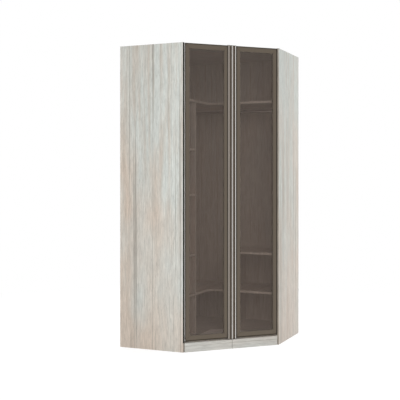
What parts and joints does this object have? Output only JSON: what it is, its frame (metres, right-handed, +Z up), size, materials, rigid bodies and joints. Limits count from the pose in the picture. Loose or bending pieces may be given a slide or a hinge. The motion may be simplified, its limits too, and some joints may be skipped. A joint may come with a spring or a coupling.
{
  "type": "corner wardrobe",
  "caption": "Tall corner wardrobe with a diagonal front, framed smoked glass doors with full-height handles, and shelves and a hanging rail inside.",
  "frame": {"origin": "on the floor, under the centre of the box round the wardrobe", "axes": "+Z up, +Y towards the corner of the room, the diagonal door front faces -Y, +X to the right of someone facing the doors"},
  "size_m": [1.5826, 1.1766, 2.36],
  "materials": {
    "washed_oak": "matt washed oak laminate",
    "back_board": "thin laminated hardboard",
    "bronze_aluminium": "bronze anodised, satin",
    "satin_aluminium": "satin anodised",
    "smoked_glass": "bronze tinted",
    "seal_rubber": "matt",
    "dark_plastic": "moulded",
    "zinc_steel": "zinc plated"
  },
  "bodies": {
    "carcass": {"left_side_panel": "washed_oak", "right_side_panel": "washed_oak", "left_back_panel": "back_board", "right_back_panel": "back_board", "corner_post": "washed_oak", "top_panel": "washed_oak", "base_panel": "washed_oak", "plinth_left": "washed_oak", "plinth_right": "washed_oak", "plinth_rail": "washed_oak", "left_base_runner": "washed_oak", "right_base_runner": "washed_oak", "upper_shelf": "washed_oak", "lower_shelf": "washed_oak", "middle_shelf": "washed_oak", "left_divider_lower": "washed_oak", "left_divider_upper": "washed_oak", "right_divider_lower": "washed_oak", "right_divider_upper": "washed_oak", "niche_shelf_low": "washed_oak", "niche_shelf_middle": "washed_oak", "niche_shelf_high": "washed_oak", "hanging_rail": "zinc_steel", "rail_flange": "zinc_steel", "rail_bracket_corner": "zinc_steel", "rail_bracket_middle": "zinc_steel", "left_hinge_arm_1": "zinc_steel", "left_hinge_arm_2": "zinc_steel", "left_hinge_arm_3": "zinc_steel", "left_hinge_arm_4": "zinc_steel", "right_hinge_arm_1": "zinc_steel", "right_hinge_arm_2": "zinc_steel", "right_hinge_arm_3": "zinc_steel", "right_hinge_arm_4": "zinc_steel"},
    "left_door": {"left_outer_stile": "bronze_aluminium", "left_meeting_stile": "bronze_aluminium", "left_top_rail": "bronze_aluminium", "left_bottom_rail": "bronze_aluminium", "left_glass_pane": "smoked_glass", "left_glass_seal": "seal_rubber", "left_handle_profile": "satin_aluminium", "left_handle_bottom_cap": "dark_plastic", "left_handle_top_cap": "dark_plastic", "left_hinge_cup_1": "zinc_steel", "left_hinge_cup_2": "zinc_steel", "left_hinge_cup_3": "zinc_steel", "left_hinge_cup_4": "zinc_steel"},
    "right_door": {"right_outer_stile": "bronze_aluminium", "right_meeting_stile": "bronze_aluminium", "right_top_rail": "bronze_aluminium", "right_bottom_rail": "bronze_aluminium", "right_glass_pane": "smoked_glass", "right_glass_seal": "seal_rubber", "right_handle_profile": "satin_aluminium", "right_handle_bottom_cap": "dark_plastic", "right_handle_top_cap": "dark_plastic", "right_hinge_cup_1": "zinc_steel", "right_hinge_cup_2": "zinc_steel", "right_hinge_cup_3": "zinc_steel", "right_hinge_cup_4": "zinc_steel"}
  },
  "joints": [
    {"name": "left_door_hinge", "type": "hinge", "parent": "carcass", "child": "left_door", "pos_m": [-0.39185, -0.58831, 1.22], "axis": [0, 0, -1], "range_deg": [0, 105]},
    {"name": "right_door_hinge", "type": "hinge", "parent": "carcass", "child": "right_door", "pos_m": [0.39185, -0.58831, 1.22], "axis": [0, 0, 1], "range_deg": [0, 105]}
  ]
}
